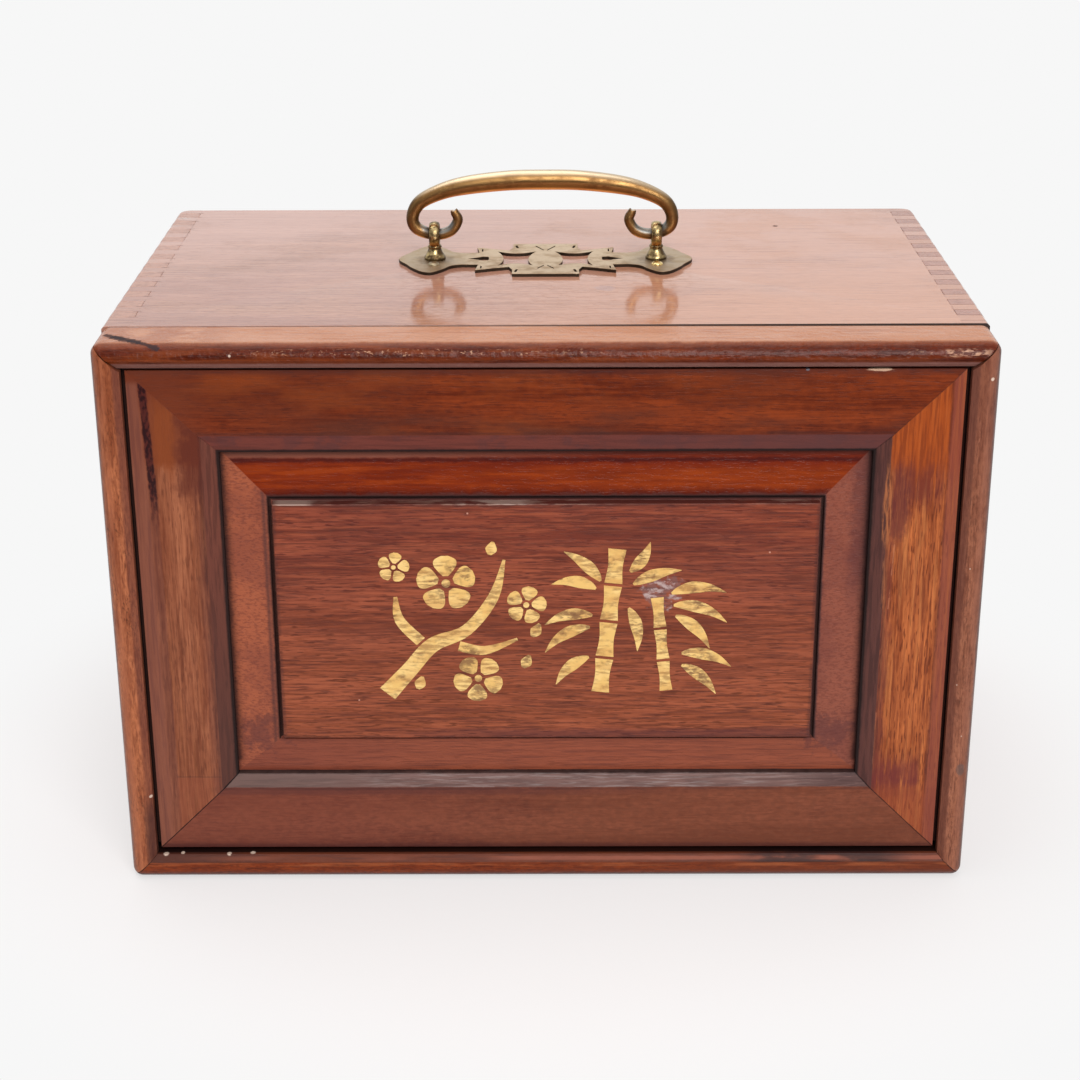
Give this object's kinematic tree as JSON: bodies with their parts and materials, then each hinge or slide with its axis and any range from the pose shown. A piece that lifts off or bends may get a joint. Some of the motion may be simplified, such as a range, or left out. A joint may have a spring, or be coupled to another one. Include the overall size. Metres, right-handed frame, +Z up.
{
  "type": "mahjong case",
  "caption": "Finger-jointed wooden game case with drawers behind a framed front panel that lifts out with the top moulding, and a brass bail handle on a pierced plate.",
  "frame": {"origin": "centre of the base, on the surface the case stands on", "axes": "+X to the right across the front, +Y to the back, +Z up"},
  "size_m": [0.24, 0.1554, 0.1882],
  "materials": {
    "carcass_rosewood": "varnished, gloss",
    "moulding_rosewood": "varnished, gloss, worn",
    "panel_frame_rosewood": "varnished, gloss",
    "panel_field_rosewood": "varnished, gloss",
    "drawer_front_rosewood": "varnished, satin",
    "drawer_wood": "bare, satin",
    "plate_brass": "aged, satin",
    "handle_brass": "aged, polished by hands",
    "washer_brass": "aged",
    "knob_brass": "aged"
  },
  "bodies": {
    "case": {"top_board": "carcass_rosewood", "bottom_board": "carcass_rosewood", "left_side_board": "carcass_rosewood", "right_side_board": "carcass_rosewood", "back_board": "carcass_rosewood", "bottom_front_moulding": "moulding_rosewood", "left_front_moulding": "moulding_rosewood", "right_front_moulding": "moulding_rosewood", "left_drawer_runners": "drawer_wood", "right_drawer_runners": "drawer_wood", "handle_plate": "plate_brass", "left_handle_eye": "handle_brass", "right_handle_eye": "handle_brass", "handle_eye_washers": "washer_brass", "plate_tacks": "plate_brass"},
    "front_panel": {"top_lift_moulding": "moulding_rosewood", "panel_top_rail": "panel_frame_rosewood", "panel_bottom_rail": "panel_frame_rosewood", "panel_left_stile": "panel_frame_rosewood", "panel_right_stile": "panel_frame_rosewood", "panel_raised_field": "panel_field_rosewood"},
    "handle": {"handle_bail": "handle_brass"},
    "drawer_1": {"drawer_1_front": "drawer_front_rosewood", "drawer_1_left_side": "drawer_wood", "drawer_1_right_side": "drawer_wood", "drawer_1_back": "drawer_wood", "drawer_1_floor": "drawer_wood", "drawer_1_knob": "knob_brass"},
    "drawer_2": {"drawer_2_front": "drawer_front_rosewood", "drawer_2_left_side": "drawer_wood", "drawer_2_right_side": "drawer_wood", "drawer_2_back": "drawer_wood", "drawer_2_floor": "drawer_wood", "drawer_2_knob": "knob_brass"},
    "drawer_3": {"drawer_3_front": "drawer_front_rosewood", "drawer_3_left_side": "drawer_wood", "drawer_3_right_side": "drawer_wood", "drawer_3_back": "drawer_wood", "drawer_3_floor": "drawer_wood", "drawer_3_knob": "knob_brass"},
    "drawer_4": {"drawer_4_front": "drawer_front_rosewood", "drawer_4_left_side": "drawer_wood", "drawer_4_right_side": "drawer_wood", "drawer_4_back": "drawer_wood", "drawer_4_floor": "drawer_wood", "drawer_4_knob": "knob_brass"},
    "drawer_5": {"drawer_5_front": "drawer_front_rosewood", "drawer_5_left_side": "drawer_wood", "drawer_5_right_side": "drawer_wood", "drawer_5_back": "drawer_wood", "drawer_5_floor": "drawer_wood", "drawer_5_knob": "knob_brass"}
  },
  "joints": [
    {"name": "panel_lift", "type": "slide", "parent": "case", "child": "front_panel", "axis": [0, 0, 1], "range_m": [0, 0.156]},
    {"name": "handle_swing", "type": "hinge", "parent": "case", "child": "handle", "pos_m": [0, 0.00925, 0.1689], "axis": [1, 0, 0], "range_deg": [-105, 105]},
    {"name": "drawer_1_slide", "type": "slide", "parent": "case", "child": "drawer_1", "axis": [0, -1, 0], "range_m": [0, 0.002]},
    {"name": "drawer_2_slide", "type": "slide", "parent": "case", "child": "drawer_2", "axis": [0, -1, 0], "range_m": [0, 0.002]},
    {"name": "drawer_3_slide", "type": "slide", "parent": "case", "child": "drawer_3", "axis": [0, -1, 0], "range_m": [0, 0.002]},
    {"name": "drawer_4_slide", "type": "slide", "parent": "case", "child": "drawer_4", "axis": [0, -1, 0], "range_m": [0, 0.002]},
    {"name": "drawer_5_slide", "type": "slide", "parent": "case", "child": "drawer_5", "axis": [0, -1, 0], "range_m": [0, 0.002]}
  ]
}
